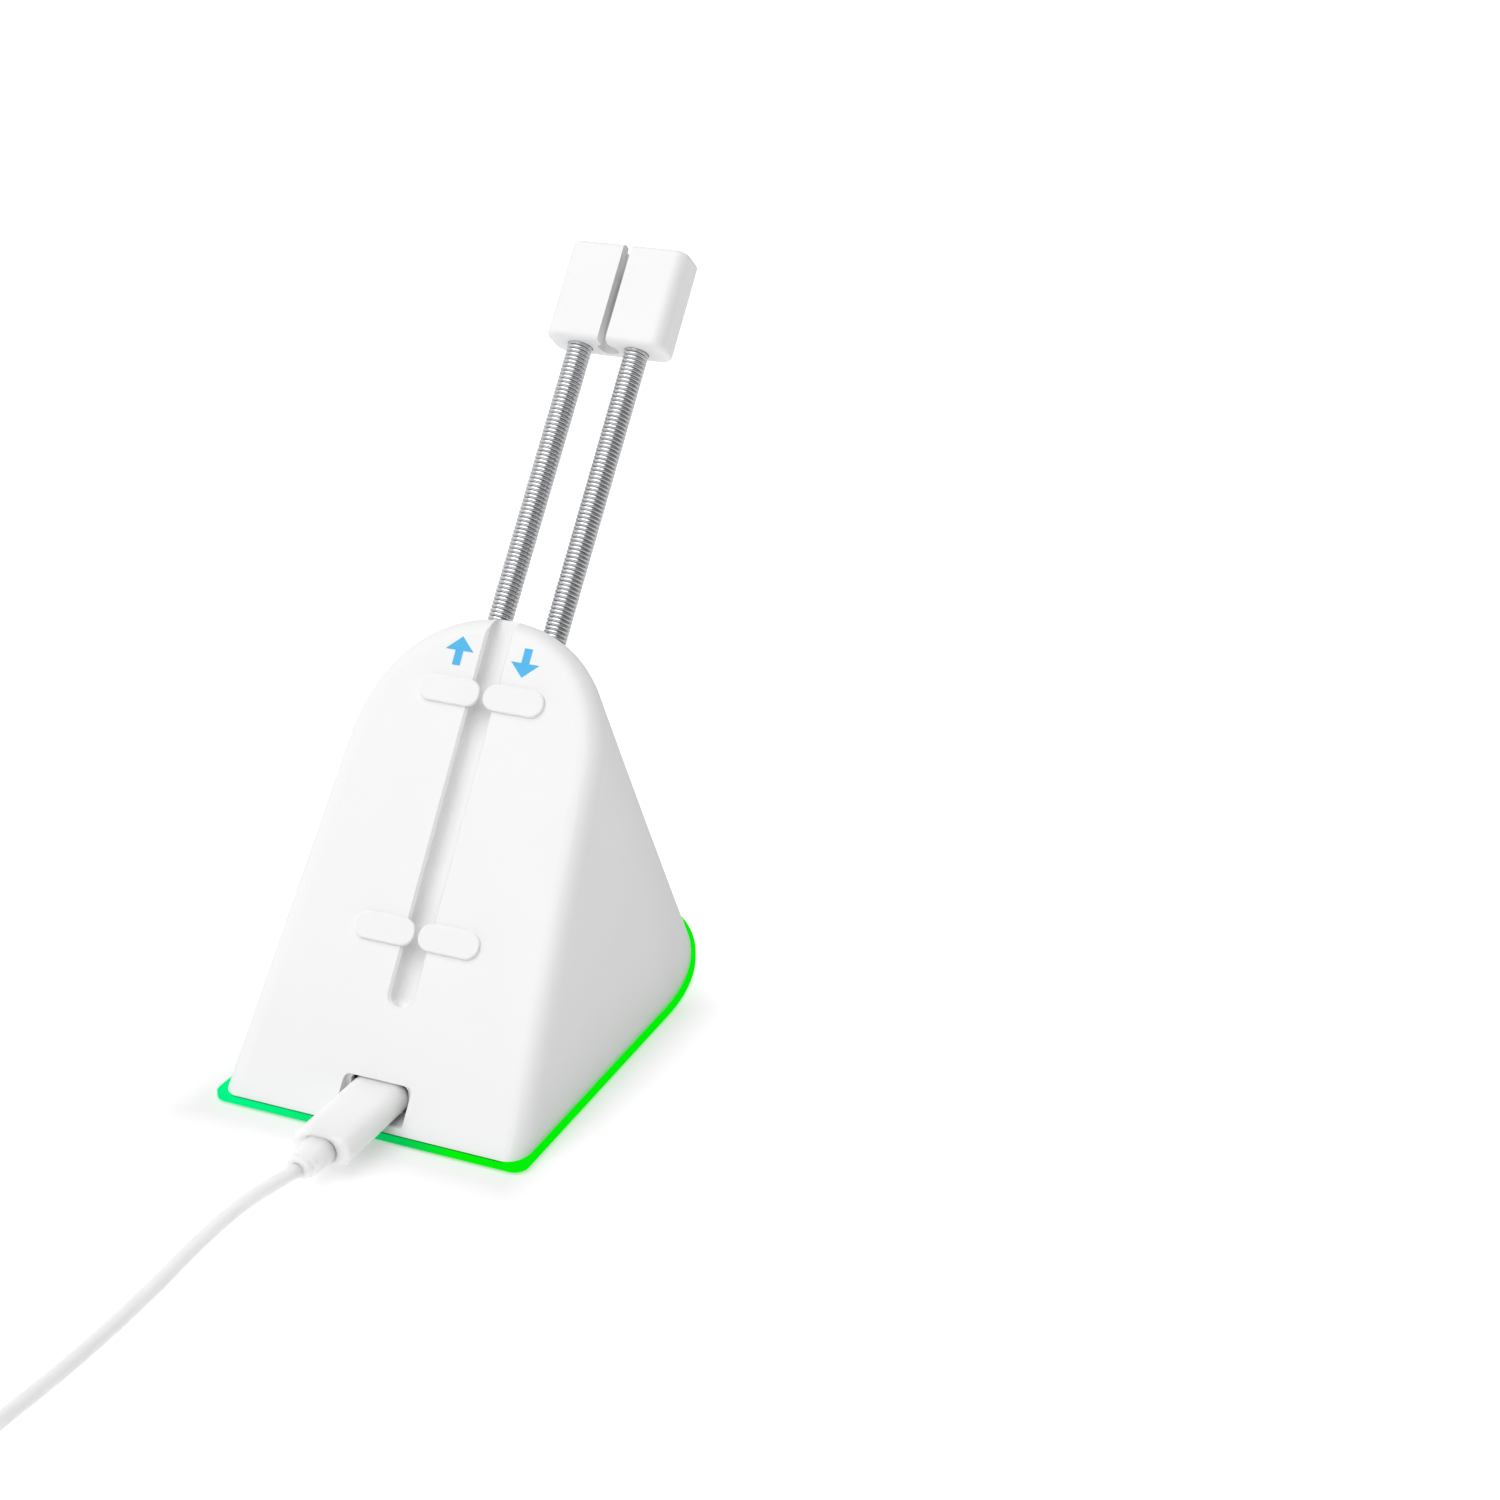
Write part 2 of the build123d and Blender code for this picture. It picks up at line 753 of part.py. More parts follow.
def tip_pin(side):
    """Core pin in the upper end of a spring."""
    end = head_bottom + head_grip + tip_pin_seat
    return arm_rod(pin_radius, head_bottom - tip_pin_drop, end, side * spring_spacing / 2)


def head_block():
    """Rounded block on both springs, with a keyhole slot for the cord."""
    block = Box(
        head_width,
        head_thickness,
        head_height,
        align=(Align.CENTER, Align.CENTER, Align.MIN),
    )
    block = fillet(block.edges().filter_by(Axis.Z), head_corner_round)
    block = fillet(block.edges().group_by(Axis.Z)[0] + block.edges().group_by(Axis.Z)[-1], head_edge_round)
    channel = Cylinder(cord_channel_radius, 2 * head_height)
    mouth = Box(cord_mouth, head_thickness, 2 * head_height, align=(Align.CENTER, Align.MAX, Align.CENTER))
    block = arm_plane * Pos(0, 0, head_bottom) * (block - channel - mouth)
    grip_end = head_bottom + head_grip
    for side in (-1, 1):
        x = side * spring_spacing / 2
        block -= arm_rod(spring_bore_radius, head_bottom - overcut, grip_end, x)
        block -= arm_rod(pin_seat_radius, grip_end, grip_end + tip_pin_seat, x)
    return block


pieces = {
    "base_housing": base_housing(),
    "light_ring": light_ring(),
    "bottom_plate": bottom_plate(),
    "anti_slip_pad": layer(pad_inset, 0, pad_thickness),
    "housing_screws": Compound([screw_up(spot, housing_screw_reach) for spot in boss_spots]),
    "ballast_weight": ballast_weight(),
    "ballast_screws": Compound([screw_up(spot, ballast_screw_reach) for spot in ballast_screw_spots]),
    "led_board": led_board(),
    "led_lamps": led_lamps(),
    "socket_board": socket_board(),
    "board_screws": board_screws(),
    "board_headers": board_headers(),
    "controller_chip": controller_chip(),
    "usb_socket_shell": usb_socket_shell(),
    "usb_socket_tongue": usb_socket_tongue(),
    "upper_left_clip": clip(-1, upper_clip_row),
    "upper_right_clip": clip(1, upper_clip_row),
    "lower_left_clip": clip(-1, lower_clip_row),
    "lower_right_clip": clip(1, lower_clip_row),
    "spring_holder": spring_holder(),
    "holder_screws": holder_screws(),
    "left_root_pin": root_pin(-1),
    "right_root_pin": root_pin(1),
    "left_spring": spring(-1),
    "right_spring": spring(1),
    "left_tip_pin": tip_pin(-1),
    "right_tip_pin": tip_pin(1),
    "head_block": head_block(),
    "usb_c_shell": usb_c_shell(),
    "usb_c_overmould": usb_c_overmould(),
    "usb_c_strain_relief": usb_c_strain_relief(),
    "power_cable": cable_tube(cable_route),
    "cable_coil": cable_coil(),
    "cable_tie": cable_tie(),
    "cable_tail": cable_tube(tail_route),
    "usb_a_strain_relief": usb_a_strain_relief(),
    "usb_a_overmould": usb_a_overmould(),
    "usb_a_shell": usb_a_shell(),
    "usb_a_insert": usb_a_insert(),
}

os.makedirs("parts", exist_ok=True)
for name, piece in pieces.items():
    export_step(piece, os.path.join("parts", name + ".step"))
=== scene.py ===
import math

import bmesh
import bpy
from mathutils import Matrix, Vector


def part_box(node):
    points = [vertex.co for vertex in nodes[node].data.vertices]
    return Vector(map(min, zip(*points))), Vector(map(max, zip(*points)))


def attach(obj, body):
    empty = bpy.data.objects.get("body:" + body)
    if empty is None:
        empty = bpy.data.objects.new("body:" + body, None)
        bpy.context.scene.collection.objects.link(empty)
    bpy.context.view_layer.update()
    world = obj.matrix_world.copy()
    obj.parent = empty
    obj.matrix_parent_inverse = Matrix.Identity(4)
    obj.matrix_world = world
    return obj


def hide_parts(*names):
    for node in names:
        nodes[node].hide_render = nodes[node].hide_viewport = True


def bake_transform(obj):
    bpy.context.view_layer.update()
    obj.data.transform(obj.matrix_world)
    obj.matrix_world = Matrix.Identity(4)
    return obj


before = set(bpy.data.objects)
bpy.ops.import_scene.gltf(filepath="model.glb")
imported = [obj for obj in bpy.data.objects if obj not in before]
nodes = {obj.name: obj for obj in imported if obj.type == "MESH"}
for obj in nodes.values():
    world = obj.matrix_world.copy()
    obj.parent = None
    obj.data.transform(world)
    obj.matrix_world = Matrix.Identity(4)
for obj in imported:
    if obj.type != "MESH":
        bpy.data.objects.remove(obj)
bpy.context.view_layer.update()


# Wedge housing and head block
# The stand's shell and the slotted head are injection moulded in white ABS, from spark-eroded moulds.
# The shell carries every other piece, and the head is pressed on the two springs.
def srgb(colour):
    """Linear RGBA of an sRGB hex colour."""
    channels = [int(colour[start : start + 2], 16) / 255 for start in (1, 3, 5)]
    linear = [c / 12.92 if c <= 0.04045 else ((c + 0.055) / 1.055) ** 2.4 for c in channels]
    return (*linear, 1.0)


def add(tree, kind, inputs=None, **settings):
    """A new node: settings are its properties, and inputs are plain values or the sockets to link."""
    node = tree.nodes.new(kind)
    for name, value in settings.items():
        setattr(node, name, value)
    for name, value in (inputs or {}).items():
        if isinstance(value, bpy.types.NodeSocket):
            tree.links.new(value, node.inputs[name])
        else:
            node.inputs[name].default_value = value
    return node


def finish_of(name, **shader_inputs):
    """A material with one shader, its node tree, the shader and the piece's own coordinates in metres."""
    material = bpy.data.materials.new(name)
    material.use_nodes = True
    tree = material.node_tree
    tree.nodes.clear()
    shader = add(tree, "ShaderNodeBsdfPrincipled", shader_inputs)
    add(tree, "ShaderNodeOutputMaterial", {"Surface": shader.outputs["BSDF"]})
    place = add(tree, "ShaderNodeTexCoord").outputs["Object"]
    return material, tree, shader, place


def paint(material, *names):
    """Gives CAD nodes one material."""
    for name in names:
        nodes[name].data.materials.clear()
        nodes[name].data.materials.append(material)


def mottle(tree, shader, place, spot_mm, dark, light):
    """Colour that drifts softly between two tones, with spots of that size."""
    cloud = add(tree, "ShaderNodeTexNoise", {"Vector": place, "Scale": 1000 / spot_mm, "Detail": 2.0})
    blend = add(tree, "ShaderNodeMix", {"Factor": cloud.outputs["Fac"]}, data_type="RGBA")
    blend.inputs["A"].default_value = srgb(dark)
    blend.inputs["B"].default_value = srgb(light)
    tree.links.new(blend.outputs["Result"], shader.inputs["Base Color"])


def grain(tree, shader, place, grain_mm, height_mm, rough_low, rough_high):
    """Fine relief of that grain size, with a roughness that follows it."""
    noise = add(tree, "ShaderNodeTexNoise", {"Vector": place, "Scale": 1000 / grain_mm, "Detail": 3.0})
    relief = add(tree, "ShaderNodeBump", {"Height": noise.outputs["Fac"], "Distance": height_mm / 1000})
    tree.links.new(relief.outputs["Normal"], shader.inputs["Normal"])
    rough = add(tree, "ShaderNodeMapRange", {"Value": noise.outputs["Fac"]})
    rough.inputs["To Min"].default_value = rough_low
    rough.inputs["To Max"].default_value = rough_high
    tree.links.new(rough.outputs["Result"], shader.inputs["Roughness"])


# Spark-eroded ABS: the real grain is about 0.1 mm, and is drawn at 0.35 mm so that it shows at all.
white_abs, tree, shader, place = finish_of("white_abs", IOR=1.53)
mottle(tree, shader, place, spot_mm=18, dark="#E8E8E9", light="#ECECEC")
grain(tree, shader, place, grain_mm=0.35, height_mm=0.012, rough_low=0.42, rough_high=0.52)
paint(white_abs, "base_housing", "head_block")


# Cord clips
# Four pill-shaped tabs of white soft elastomer, two on each side of the groove. Each is pushed into the face
# by its stem. They are smoother than the shell, and a little duller.
soft_elastomer, tree, shader, place = finish_of("white_soft_elastomer", IOR=1.5)
mottle(tree, shader, place, spot_mm=6, dark="#E8E8E8", light="#ECECEC")
grain(tree, shader, place, grain_mm=0.8, height_mm=0.004, rough_low=0.52, rough_high=0.6)
paint(soft_elastomer, "upper_left_clip", "upper_right_clip", "lower_left_clip", "lower_right_clip")


# Printed arrows
# Two plain arrows, pad printed in blue ink beside the top of the groove: one up, one down.
# The ink film lies on the face and is a little glossier than the shell.
face_lean = math.radians(36.6)
face_near_edge = Vector((0.0, -0.0545, 0.0017))
face_up = Vector((0.0, math.sin(face_lean), math.cos(face_lean)))
face_out = Vector((0.0, -math.cos(face_lean), math.sin(face_lean)))
ink_film = 0.00003
arrow_width = 0.0062
arrow_shaft = 0.00175
arrow_head_length = 0.0029
arrow_length = 0.0059
arrows = [(-0.0074, 0.0965, -1), (0.0072, 0.0903, 1)]
bm = bmesh.new()
for across, tip, backwards in arrows:
    corners = [
        (0, 0),
        (arrow_width / 2, arrow_head_length),
        (arrow_shaft / 2, arrow_head_length),
        (arrow_shaft / 2, arrow_length),
        (-arrow_shaft / 2, arrow_length),
        (-arrow_shaft / 2, arrow_head_length),
        (-arrow_width / 2, arrow_head_length),
    ]
    ring = []
    for side, back in corners:
        spot = face_near_edge + face_up * (tip + backwards * back) + Vector((across + side, 0, 0))
        ring.append(bm.verts.new(spot + face_out * ink_film))
    bm.faces.new(ring)
bmesh.ops.triangulate(bm, faces=bm.faces)
film = bmesh.ops.extrude_face_region(bm, geom=bm.faces[:])
lower = [element for element in film["geom"] if isinstance(element, bmesh.types.BMVert)]
bmesh.ops.translate(bm, verts=lower, vec=-2 * ink_film * face_out)
bmesh.ops.recalc_face_normals(bm, faces=bm.faces)
arrow_mesh = bpy.data.meshes.new("printed_arrows")
bm.to_mesh(arrow_mesh)
bm.free()
printed_arrows = bpy.data.objects.new("printed_arrows", arrow_mesh)
bpy.context.collection.objects.link(printed_arrows)
blue_ink, tree, shader, place = finish_of("blue_pad_ink", IOR=1.5)
mottle(tree, shader, place, spot_mm=0.9, dark="#31A6DB", light="#40B1E5")
grain(tree, shader, place, grain_mm=0.35, height_mm=0.006, rough_low=0.34, rough_high=0.44)
arrow_mesh.materials.append(blue_ink)
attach(printed_arrows, "base")


# Light ring
# A frosted acrylic light guide all round the shell's lower edge, lit by lamps behind it. It glows green,
# cooler at the left and dimmer beside the plug. Along its near edge, where it meets the shell, its glow is
# turned down in a thin painted shade line.
# Glow colours along the near side: cyan-green at the left, and dimmer beside the plug.
near_tones = [
    (-0.028, "#00F58C"),
    (-0.016, "#00F07C"),
    (0.004, "#00BE5C"),
    (0.009, "#00C650"),
    (0.019, "#00F000"),
]
near_reach = 0.034
side_tone = "#00F000"
side_from = -0.045
side_to = -0.02
frost_mm = 1.5
near_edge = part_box("light_ring")[0][1]
# These set a thin line along the near edge where the glow is turned down: painted shade where the ring meets
# the shell, fading out towards the corners.
painted_shade_level = 0.25
painted_shade_from = 0.0005
painted_shade_full = 0.0008
painted_shade_back = 0.0016
painted_shade_clear = 0.002
painted_shade_corner_from = 0.0275
painted_shade_corner_to = 0.03
frosted_acrylic, tree, shader, place = finish_of("frosted_acrylic", IOR=1.49, Roughness=0.6)
shader.inputs["Specular IOR Level"].default_value = 0.0
shader.inputs["Base Color"].default_value = srgb("#042E08")
axes = add(tree, "ShaderNodeSeparateXYZ", {"Vector": place}).outputs
near_side = {"Value": axes["X"], "From Min": -near_reach, "From Max": near_reach}
along = add(tree, "ShaderNodeMapRange", near_side).outputs["Result"]
near_glow = add(tree, "ShaderNodeValToRGB", {"Fac": along})
while len(near_glow.color_ramp.elements) < len(near_tones):
    near_glow.color_ramp.elements.new(0.5)
for element, (spot, colour) in zip(near_glow.color_ramp.elements, near_tones):
    element.position = (spot + near_reach) / (2 * near_reach)
    element.color = srgb(colour)
far_side = add(tree, "ShaderNodeMapRange", {"Value": axes["Y"], "From Min": side_from, "From Max": side_to})
glow_colour = add(tree, "ShaderNodeMix", {"Factor": far_side.outputs["Result"]}, data_type="RGBA")
tree.links.new(near_glow.outputs["Color"], glow_colour.inputs["A"])
glow_colour.inputs["B"].default_value = srgb(side_tone)
tree.links.new(glow_colour.outputs["Result"], shader.inputs["Emission Color"])
frost = add(tree, "ShaderNodeTexNoise", {"Vector": place, "Scale": 1000 / frost_mm, "Detail": 2.0})
glow = add(tree, "ShaderNodeMapRange", {"Value": frost.outputs["Fac"], "To Min": 0.92, "To Max": 1.04})
off_middle = add(tree, "ShaderNodeMath", {0: axes["X"]}, operation="ABSOLUTE").outputs["Value"]
# Painted shade line: the glow falls to a quarter just behind the near edge and rises again past the shell's
# wall.
painted_shade_line = add(tree, "ShaderNodeMapRange", {"Value": axes["Y"], "To Min": 1.0, "To Max": painted_shade_level})
past_painted_shade = add(tree, "ShaderNodeMapRange", {"Value": axes["Y"]})
at_corner = add(tree, "ShaderNodeMapRange", {"Value": off_middle})
for bound, low, high in (
    (painted_shade_line, near_edge + painted_shade_from, near_edge + painted_shade_full),
    (past_painted_shade, near_edge + painted_shade_back, near_edge + painted_shade_clear),
    (at_corner, painted_shade_corner_from, painted_shade_corner_to),
):
    bound.inputs["From Min"].default_value = low
    bound.inputs["From Max"].default_value = high
light = painted_shade_line.outputs["Result"]
for other, how in ((past_painted_shade, "MAXIMUM"), (at_corner, "MAXIMUM"), (glow, "MULTIPLY")):
    both = {0: light, 1: other.outputs["Result"]}
    light = add(tree, "ShaderNodeMath", both, operation=how).outputs["Value"]
tree.links.new(light, shader.inputs["Emission Strength"])
paint(frosted_acrylic, "light_ring")


# Underside: closing plate, pad and screws
# A grey ABS plate closes the shell from below with four zinc-plated screws, and a dark silicone pad keeps
# the stand from sliding.
grey_abs, tree, shader, place = finish_of("grey_abs", IOR=1.53)
mottle(tree, shader, place, spot_mm=10, dark="#C6C7C9", light="#CFD0D1")
grain(tree, shader, place, grain_mm=0.5, height_mm=0.012, rough_low=0.45, rough_high=0.58)
paint(grey_abs, "bottom_plate", "spring_holder")
silicone, tree, shader, place = finish_of("dark_silicone", IOR=1.43)
mottle(tree, shader, place, spot_mm=4, dark="#2E2F31", light="#38393B")
grain(tree, shader, place, grain_mm=0.4, height_mm=0.02, rough_low=0.62, rough_high=0.78)
paint(silicone, "anti_slip_pad")
zinc, tree, shader, place = finish_of("zinc_plated_steel", Metallic=1.0)
mottle(tree, shader, place, spot_mm=0.8, dark="#A9ABB0", light="#C2C4C8")
grain(tree, shader, place, grain_mm=0.3, height_mm=0.004, rough_low=0.26, rough_high=0.4)
paint(zinc, "housing_screws", "ballast_screws", "board_screws", "holder_screws")


# Ballast
# A sawn block of raw mild steel screwed to the plate, which keeps the stand from tipping.
# Its faces show the dull grey of mill scale.
mill_steel, tree, shader, place = finish_of("raw_mild_steel", Metallic=1.0)
mottle(tree, shader, place, spot_mm=3, dark="#6C6D70", light="#8A8B8E")
grain(tree, shader, place, grain_mm=0.6, height_mm=0.02, rough_low=0.42, rough_high=0.6)
paint(mill_steel, "ballast_weight")


# Boards, lamps and socket
# Two glass-fibre boards with green solder mask carry the lamps behind the ring and the USB-C socket,
# with moulded black headers and a controller chip.
solder_mask, tree, shader, place = finish_of("green_solder_mask", IOR=1.55)
mottle(tree, shader, place, spot_mm=1.5, dark="#0E5A30", light="#17713F")
grain(tree, shader, place, grain_mm=0.7, height_mm=0.01, rough_low=0.25, rough_high=0.4)
paint(solder_mask, "led_board", "socket_board")
lamp_epoxy, tree, shader, place = finish_of("lamp_epoxy", IOR=1.54)
mottle(tree, shader, place, spot_mm=0.8, dark="#D9F2C4", light="#F1FBE6")
grain(tree, shader, place, grain_mm=0.3, height_mm=0.002, rough_low=0.12, rough_high=0.2)
paint(lamp_epoxy, "led_lamps")
black_plastic, tree, shader, place = finish_of("black_moulded_plastic", IOR=1.53)
mottle(tree, shader, place, spot_mm=2, dark="#17181A", light="#222326")
grain(tree, shader, place, grain_mm=0.3, height_mm=0.01, rough_low=0.42, rough_high=0.56)
paint(black_plastic, "board_headers", "controller_chip", "usb_socket_tongue", "usb_a_insert")
nickel, tree, shader, place = finish_of("nickel_plated_steel", Metallic=1.0)
mottle(tree, shader, place, spot_mm=1.2, dark="#A3A29E", light="#B8B7B3")
grain(tree, shader, place, grain_mm=0.25, height_mm=0.003, rough_low=0.16, rough_high=0.28)
paint(nickel, "usb_socket_shell", "usb_c_shell", "usb_a_shell")


# Spring arms
# Two close-wound springs of bright drawn steel wire, held on turned core pins in the holder and in the head.
# They bend over their lower coils when the head is pulled; here both are built straight, at rest.
arm_lean = math.radians(39)
arm_foot = Vector((0.0, 0.001347, 0.059874))
arm_axis = Vector((0.0, math.sin(arm_lean), math.cos(arm_lean)))
spring_from = 0.006
spring_to = 0.0904
wire_radius = 0.00042
wire_line_radius = 0.00213
wire_pitch = 0.000847
points_per_turn = 26
sides_of_wire = 10
drawn_wire, tree, shader, place = finish_of("bright_drawn_spring_steel", Metallic=1.0)
mottle(tree, shader, place, spot_mm=0.6, dark="#C4C5C7", light="#DFE0E2")
grain(tree, shader, place, grain_mm=0.2, height_mm=0.002, rough_low=0.1, rough_high=0.18)
turned_steel, tree, shader, place = finish_of("turned_steel", Metallic=1.0)
mottle(tree, shader, place, spot_mm=0.5, dark="#96989B", light="#AEB0B3")
grain(tree, shader, place, grain_mm=0.15, height_mm=0.003, rough_low=0.22, rough_high=0.36)
paint(turned_steel, "left_root_pin", "right_root_pin", "left_tip_pin", "right_tip_pin")
coil_tree = bpy.data.node_groups.new("close_wound_spring", "GeometryNodeTree")
coil_tree.interface.new_socket("Geometry", in_out="OUTPUT", socket_type="NodeSocketGeometry")
coil_inputs = {
    "Turns": ("NodeSocketFloat", (spring_to - spring_from) / wire_pitch),
    "Length": ("NodeSocketFloat", spring_to - spring_from),
    "Line Radius": ("NodeSocketFloat", wire_line_radius),
    "Wire Radius": ("NodeSocketFloat", wire_radius),
    "Foot": ("NodeSocketVector", (0.0, 0.0, 0.0)),
}
coil_sockets = {}
for name, (kind, value) in coil_inputs.items():
    coil_sockets[name] = coil_tree.interface.new_socket(name, in_out="INPUT", socket_type=kind)
    coil_sockets[name].default_value = value
given = add(coil_tree, "NodeGroupInput").outputs
helix = add(
    coil_tree,
    "GeometryNodeCurveSpiral",
    {
        "Resolution": points_per_turn,
        "Rotations": given["Turns"],
        "Start Radius": given["Line Radius"],
        "End Radius": given["Line Radius"],
        "Height": given["Length"],
    },
)
section = add(
    coil_tree,
    "GeometryNodeCurvePrimitiveCircle",
    {"Resolution": sides_of_wire, "Radius": given["Wire Radius"]},
)
wire = add(
    coil_tree,
    "GeometryNodeCurveToMesh",
    {"Curve": helix.outputs["Curve"], "Profile Curve": section.outputs["Curve"], "Fill Caps": True},
)
placed = add(
    coil_tree,
    "GeometryNodeTransform",
    {"Geometry": wire.outputs["Mesh"], "Translation": given["Foot"], "Rotation": (-arm_lean, 0.0, 0.0)},
)
smooth = add(coil_tree, "GeometryNodeSetShadeSmooth", {"Geometry": placed.outputs["Geometry"]})
whole = add(coil_tree, "GeometryNodeRealizeInstances", {"Geometry": smooth.outputs["Geometry"]})
in_steel = {"Geometry": whole.outputs["Geometry"], "Material": drawn_wire}
steel = add(coil_tree, "GeometryNodeSetMaterial", in_steel)
add(coil_tree, "NodeGroupOutput", {"Geometry": steel.outputs["Geometry"]})
for name in ("left_spring", "right_spring"):
    low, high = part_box(name)
    axis_x = (low[0] + high[0]) / 2
    maker = bpy.data.objects.new(name + "_maker", bpy.data.meshes.new(name + "_maker"))
    bpy.context.collection.objects.link(maker)
    modifier = maker.modifiers.new("coil", "NODES")
    modifier.node_group = coil_tree
    modifier[coil_sockets["Foot"].identifier] = arm_foot + arm_axis * spring_from + Vector((axis_x, 0, 0))
    evaluated = maker.evaluated_get(bpy.context.evaluated_depsgraph_get())
    coil_mesh = bpy.data.meshes.new_from_object(evaluated)
    bpy.data.objects.remove(maker)
    coil = bpy.data.objects.new(name + "_coil", coil_mesh)
    bpy.context.collection.objects.link(coil)
    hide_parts(name)
    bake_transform(coil)


# USB plugs
# Each end of the cable is overmoulded in white elastomer, with a short sleeve against kinking.
# The body is satin, lets a little light through, and picks up the light along its rounded edges.
plug_elastomer, tree, shader, place = finish_of("white_plug_elastomer", IOR=1.5)
shader.inputs["Subsurface Weight"].default_value = 1.0
shader.inputs["Subsurface Radius"].default_value = (1.0, 1.0, 1.0)
shader.inputs["Subsurface Scale"].default_value = 0.005
mottle(tree, shader, place, spot_mm=6, dark="#E6E6E6", light="#EAEAEA")
grain(tree, shader, place, grain_mm=0.5, height_mm=0.008, rough_low=0.44, rough_high=0.54)
paint(plug_elastomer, "usb_c_overmould", "usb_c_strain_relief", "usb_a_overmould", "usb_a_strain_relief")


# Power cable
# A limp white elastomer lead, 2.8 mm thick: it leaves the plug, drops to the desk and runs away from
# the stand. The rest is wound into a tied coil at its end, with the far plug beside it.
cable_diameter = 0.0028
cable_route = [
    (0.0, -0.0776, 0.0059),
    (-0.0009, -0.0812, 0.006),
    (-0.0038, -0.09, 0.0052),
    (-0.006, -0.101, 0.003),
    (-0.0064, -0.114, 0.0015),
    (-0.0063, -0.136, 0.0015),
    (-0.0084, -0.160, 0.0015),
    (-0.008, -0.183, 0.0016),
]
tail_route = [
    (-0.0468, -0.1955, 0.0092),
    (-0.0474, -0.184, 0.0046),
    (-0.0482, -0.174, 0.0042),
    (-0.0482, -0.166, 0.0042),
]
coil_center = Vector((-0.0273, -0.205, 0.0))
inner_turn = 0.0137
lowest_turn = 0.0024
turns_across = 3
turns_in_coil = 11.5
points_in_turn = 20
change_over = 0.3
side_step = 0.0012


def turn_place(turn):
    """Radius and height of a whole turn: each layer of turns runs back over the one below it."""
    layer, step = divmod(turn, turns_across)
    across = step if layer % 2 else turns_across - 1 - step
    return inner_turn + across * cable_diameter, lowest_turn + layer * cable_diameter


coil_points = []
for index in range(int(turns_in_coil * points_in_turn) + 1):
    turn, share = divmod(index / points_in_turn, 1)
    radius, height = turn_place(int(turn))
    next_radius, next_height = turn_place(int(turn) + 1)
    change = max(0.0, (share - 1 + change_over) / change_over)
    if turn + 1 > turns_in_coil:
        change = 0.0
    ease = change * change * (3 - 2 * change)
    if next_height > height:
        middle_turn = inner_turn + (turns_across - 1) / 2 * cable_diameter
        radius += math.copysign(side_step, radius - middle_turn) * math.sin(math.pi * change)
    else:
        radius += (next_radius - radius) * ease
    height += (next_height - height) * ease
    angle = -2 * math.pi * index / points_in_turn
    coil_points.append(coil_center + Vector((radius * math.cos(angle), radius * math.sin(angle), height)))
cable_curve = bpy.data.curves.new("power_cable_lead", "CURVE")
cable_curve.dimensions = "3D"
cable_curve.bevel_depth = cable_diameter / 2
cable_curve.bevel_resolution = 5
cable_curve.resolution_u = 4
cable_curve.use_fill_caps = True
cable_points = cable_route + coil_points + tail_route
line = cable_curve.splines.new("NURBS")
line.points.add(len(cable_points) - 1)
for spline_point, spot in zip(line.points, cable_points):
    spline_point.co = (*spot, 1.0)
line.order_u = 3
line.use_endpoint_u = True
line.use_smooth = True
power_cable_lead = bpy.data.objects.new("power_cable_lead", cable_curve)
bpy.context.collection.objects.link(power_cable_lead)
cable_elastomer, tree, shader, place = finish_of("white_cable_elastomer", IOR=1.5)
shader.inputs["Subsurface Weight"].default_value = 1.0
shader.inputs["Subsurface Radius"].default_value = (1.0, 1.0, 1.0)
shader.inputs["Subsurface Scale"].default_value = 0.003
mottle(tree, shader, place, spot_mm=5, dark="#E2E2E2", light="#E6E6E6")
grain(tree, shader, place, grain_mm=0.6, height_mm=0.006, rough_low=0.48, rough_high=0.58)
cable_curve.materials.append(cable_elastomer)
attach(power_cable_lead, "base")
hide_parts("power_cable", "cable_coil", "cable_tail")
plug_nodes = ["usb_c_shell", "usb_c_overmould", "usb_c_strain_relief", "cable_tie"]
plug_nodes += ["usb_a_strain_relief", "usb_a_overmould", "usb_a_shell", "usb_a_insert"]


# Cable tie
# A strap of black woven tape round one side of the coil, closed on itself.
# The weave's ribs are really about half a millimetre apart, and are drawn at 3 mm so that they show.
rib_mm = 3.1416
rib_height_mm = 0.08
waves_per_metre = 20 / (2 * math.pi)
woven_tape, tree, shader, place = finish_of("black_woven_tape", Roughness=0.8)
rib_scale = 1000 / rib_mm / waves_per_metre
ribs = add(tree, "ShaderNodeTexWave", {"Vector": place, "Scale": rib_scale, "Distortion": 0.4})
rib_relief = add(tree, "ShaderNodeBump", {"Height": ribs.outputs["Fac"], "Distance": rib_height_mm / 1000})
tree.links.new(rib_relief.outputs["Normal"], shader.inputs["Normal"])
mottle(tree, shader, place, spot_mm=0.7, dark="#1B1B1D", light="#2B2B2E")
paint(woven_tape, "cable_tie")


# Stage: floor, light and camera
# A plain white floor, lit from below like a light table and dimmer in gloss; close round the stand's foot its
# glow is turned down into a painted soft contact shadow.
# One wide soft light stands above, and the left side is bright. The camera stands where the photograph was
# taken from.
floor_size = 12
table_light = 0.8
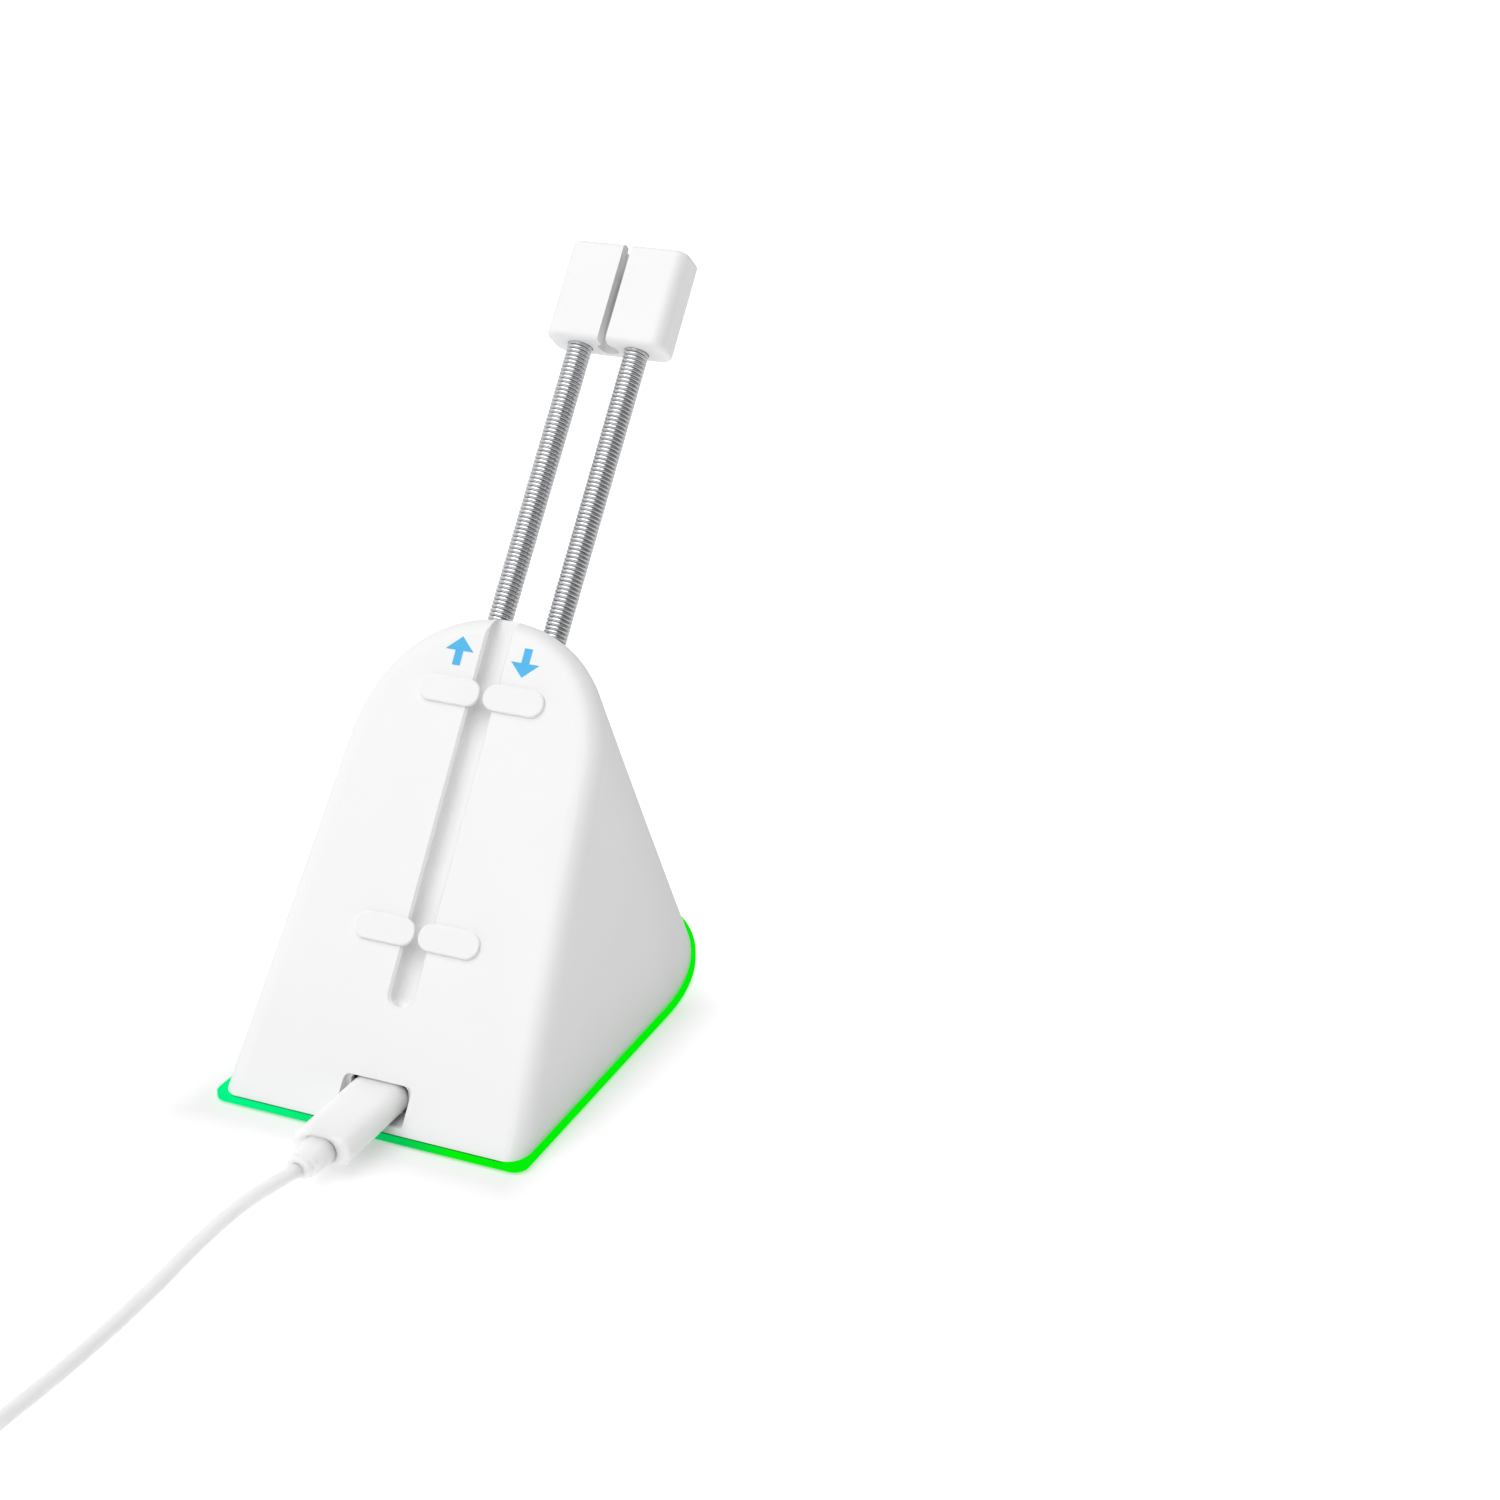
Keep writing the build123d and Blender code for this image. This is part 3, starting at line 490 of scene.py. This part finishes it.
# The floor's glow is lower close round the stand's foot and fades back up away from it: a painted contact
# shadow.
table_light_in_painted_shadow = 0.38
table_light_in_gloss = 0.22
painted_shadow_fade = 0.022
straight_share = 0.64
painted_shadow_to_left = 0.002
painted_shadow_to_front = 0.004
bpy.ops.mesh.primitive_plane_add(size=floor_size)
floor = bpy.context.object
floor.name = "floor"
white_floor, tree, shader, place = finish_of("white_paper_floor", Roughness=0.9)
mottle(tree, shader, place, spot_mm=400, dark="#B9B9B9", light="#BEBEBE")
shader.inputs["Specular IOR Level"].default_value = 0.0
shader.inputs["Emission Color"].default_value = (1.0, 1.0, 1.0, 1.0)
# A rounded box round the stand's foot, shifted a little left and forward: inside it the floor's glow is low,
# which paints the contact shadow.
foot_low, foot_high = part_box("light_ring")
straight_part = (foot_high[1] - foot_low[1]) * straight_share
painted_shadow_middle = (-painted_shadow_to_left, foot_low[1] + straight_part / 2 - painted_shadow_to_front, 0.0)
painted_shadow_half = (foot_high[0], straight_part / 2, 0.0)
beyond = place
for how, other in (
    ("SUBTRACT", painted_shadow_middle),
    ("ABSOLUTE", (0.0, 0.0, 0.0)),
    ("SUBTRACT", painted_shadow_half),
    ("MAXIMUM", (0.0, 0.0, 0.0)),
):
    beyond = add(tree, "ShaderNodeVectorMath", {0: beyond, 1: other}, operation=how).outputs["Vector"]
away = add(tree, "ShaderNodeVectorMath", {0: beyond}, operation="LENGTH").outputs["Value"]
fading = {"Value": away, "From Max": painted_shadow_fade, "To Min": table_light_in_painted_shadow, "To Max": table_light}
lit = add(tree, "ShaderNodeMapRange", fading).outputs["Result"]
in_gloss = add(tree, "ShaderNodeLightPath").outputs["Is Glossy Ray"]
shown = add(tree, "ShaderNodeMix", {"Factor": in_gloss, "A": lit, "B": table_light_in_gloss})
tree.links.new(shown.outputs["Result"], shader.inputs["Emission Strength"])
white_floor.cycles.emission_sampling = "NONE"
floor.data.materials.append(white_floor)

left_fill = 0.6
left_in_gloss = 0.95
right_fill = 0.16
world = bpy.data.worlds.new("studio")
bpy.context.scene.world = world
world.use_nodes = True
tree = world.node_tree
tree.nodes.clear()
outwards = add(tree, "ShaderNodeTexCoord").outputs["Generated"]
sideways = add(tree, "ShaderNodeSeparateXYZ", {"Vector": outwards}).outputs["X"]
rays = add(tree, "ShaderNodeLightPath").outputs
left_parts = {"Factor": rays["Is Diffuse Ray"], "A": left_in_gloss, "B": left_fill}
left = add(tree, "ShaderNodeMix", left_parts).outputs["Result"]
left_to_right = {"Value": sideways, "From Min": -1.0, "To Min": left, "To Max": right_fill}
fill = add(tree, "ShaderNodeMapRange", left_to_right).outputs["Result"]
strength = add(tree, "ShaderNodeMix", {"Factor": rays["Is Camera Ray"], "A": fill, "B": 1.0})
sky = add(tree, "ShaderNodeBackground", {"Strength": strength.outputs["Result"]})
sky.inputs["Color"].default_value = (1.0, 1.0, 1.0, 1.0)
add(tree, "ShaderNodeOutputWorld", {"Surface": sky.outputs["Background"]})

sun_azimuth = math.radians(-20)
sun_elevation = math.radians(70)
sun = bpy.data.lights.new("overhead_light", "SUN")
sun.energy = 2.1
sun.angle = math.radians(70)
sun_back = Vector(
    (
        math.sin(sun_azimuth) * math.cos(sun_elevation),
        -math.cos(sun_azimuth) * math.cos(sun_elevation),
        math.sin(sun_elevation),
    )
)
overhead_light = bpy.data.objects.new("overhead_light", sun)
overhead_light.rotation_euler = sun_back.to_track_quat("Z", "Y").to_euler()
bpy.context.collection.objects.link(overhead_light)

camera_azimuth = math.radians(23.75)
camera_elevation = math.radians(23.82)
camera_distance = 0.4952
camera_aim = Vector((0.061503, -0.0145, 0.074226))
camera_back = Vector(
    (
        math.sin(camera_azimuth) * math.cos(camera_elevation),
        -math.cos(camera_azimuth) * math.cos(camera_elevation),
        math.sin(camera_elevation),
    )
)
camera_data = bpy.data.cameras.new("camera")
camera_data.lens = 65.48
camera_data.sensor_width = 36.0
camera = bpy.data.objects.new("camera", camera_data)
camera.location = camera_aim + camera_back * camera_distance
camera.rotation_euler = camera_back.to_track_quat("Z", "Y").to_euler()
bpy.context.collection.objects.link(camera)
bpy.context.scene.camera = camera
bpy.context.scene.view_settings.view_transform = "Standard"
